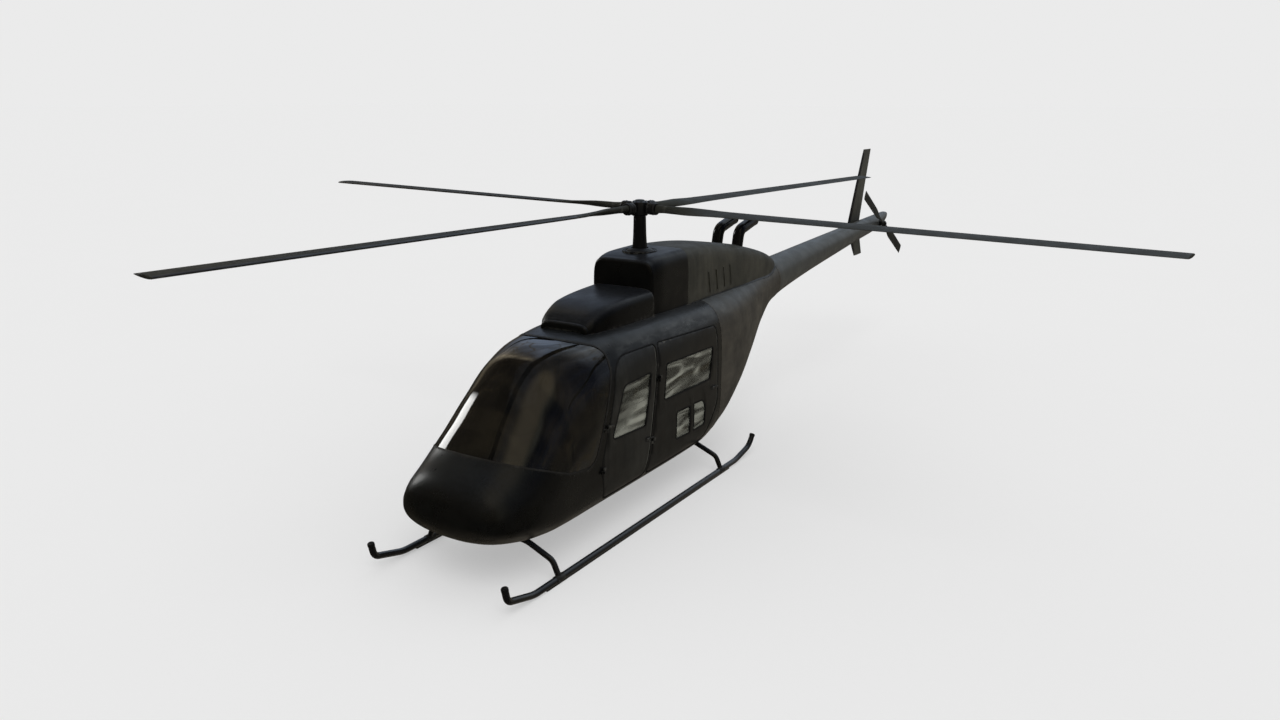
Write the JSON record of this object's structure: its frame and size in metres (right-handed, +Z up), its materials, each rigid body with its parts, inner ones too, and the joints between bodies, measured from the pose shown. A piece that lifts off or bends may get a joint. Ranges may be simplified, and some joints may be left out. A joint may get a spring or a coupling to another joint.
{
  "type": "light utility helicopter",
  "caption": "Light utility helicopter on skids: hollow cabin with hinged doors, wrap-around windscreen, stepped rotor cowlings, slim tail boom with fin, and turning main and tail rotors.",
  "frame": {"origin": "on the ground, below the middle of the box round the whole aircraft, rotors included, as it stands on its skids", "axes": "+Z up, -Y towards the nose, +Y towards the tail, +X to port"},
  "size_m": [9.935, 13.0874, 3.15],
  "materials": {
    "body_paint": "satin near-black paint, worn grey on upward faces",
    "door_paint": "satin black paint",
    "gear_paint": "gloss black paint",
    "dark_metal": "dark oiled metal",
    "bare_metal": "plain cast metal",
    "blade_paint": "matt dark olive grey",
    "tinted_glass": "dark tinted, glossy",
    "cabin_trim": "matt dark grey",
    "seat_cloth": "woven dark grey cloth"
  },
  "bodies": {
    "airframe": {"cabin_shell": "body_paint", "aft_fuselage": "body_paint", "tail_boom": "body_paint", "boom_end": "body_paint", "vertical_fin": "body_paint", "cowling_forward": "body_paint", "cowling_mast": "body_paint", "cowling_engine": "body_paint", "windscreen": "tinted_glass", "mast_collar": "dark_metal", "exhaust_port": "dark_metal", "exhaust_starboard": "dark_metal", "tail_gearbox": "dark_metal", "engine": "bare_metal", "transmission": "bare_metal", "skid_port": "gear_paint", "skid_starboard": "gear_paint", "cross_tube_front": "gear_paint", "cross_tube_rear": "gear_paint", "seat_base_front": "cabin_trim", "seat_base_rear": "cabin_trim", "instrument_console": "cabin_trim", "front_cushion_port": "seat_cloth", "front_cushion_starboard": "seat_cloth", "front_back_port": "seat_cloth", "front_back_starboard": "seat_cloth", "rear_cushion": "seat_cloth", "rear_back": "seat_cloth"},
    "door_front_port": {"door_front_port": "door_paint", "door_front_port_window": "tinted_glass"},
    "door_rear_port": {"door_rear_port": "door_paint", "door_rear_port_window": "tinted_glass", "door_rear_port_lower_forward": "tinted_glass", "door_rear_port_lower_aft": "tinted_glass"},
    "door_front_starboard": {"door_front_starboard": "door_paint", "door_front_starboard_window": "tinted_glass"},
    "door_rear_starboard": {"door_rear_starboard": "door_paint", "door_rear_starboard_window": "tinted_glass", "door_rear_starboard_lower_forward": "tinted_glass", "door_rear_starboard_lower_aft": "tinted_glass"},
    "main_rotor": {"mast": "dark_metal", "rotor_hub": "dark_metal", "rotor_grip_1": "dark_metal", "rotor_grip_2": "dark_metal", "rotor_grip_3": "dark_metal", "rotor_grip_4": "dark_metal", "rotor_blade_1": "blade_paint", "rotor_blade_2": "blade_paint", "rotor_blade_3": "blade_paint", "rotor_blade_4": "blade_paint"},
    "tail_rotor": {"tail_rotor_hub": "dark_metal", "tail_rotor_blade_1": "blade_paint", "tail_rotor_blade_2": "blade_paint"}
  },
  "joints": [
    {"name": "door_front_port_hinge", "type": "hinge", "parent": "airframe", "child": "door_front_port", "pos_m": [0.672, -3.2317, 0.72], "axis": [0, -0.1736, -0.9848], "range_deg": [0, 78]},
    {"name": "door_front_starboard_hinge", "type": "hinge", "parent": "airframe", "child": "door_front_starboard", "pos_m": [-0.672, -3.2317, 0.72], "axis": [0, 0.1736, 0.9848], "range_deg": [0, 78]},
    {"name": "door_rear_port_hinge", "type": "hinge", "parent": "airframe", "child": "door_rear_port", "pos_m": [0.672, -2.2142, 1.68], "axis": [0, -0.1736, -0.9848], "range_deg": [0, 78]},
    {"name": "door_rear_starboard_hinge", "type": "hinge", "parent": "airframe", "child": "door_rear_starboard", "pos_m": [-0.672, -2.2142, 1.68], "axis": [0, 0.1736, 0.9848], "range_deg": [0, 78]},
    {"name": "main_rotor_turn", "type": "hinge", "parent": "airframe", "child": "main_rotor", "pos_m": [0, -1.5762, 2.879], "axis": [0, 0, 1], "continuous": true},
    {"name": "tail_rotor_turn", "type": "hinge", "parent": "airframe", "child": "tail_rotor", "pos_m": [0.18, 5.5538, 1.97], "axis": [1, 0, 0], "continuous": true}
  ],
  "couplings": [
    {"joint": "tail_rotor_turn", "follows": "main_rotor_turn", "ratio": 6.47}
  ]
}
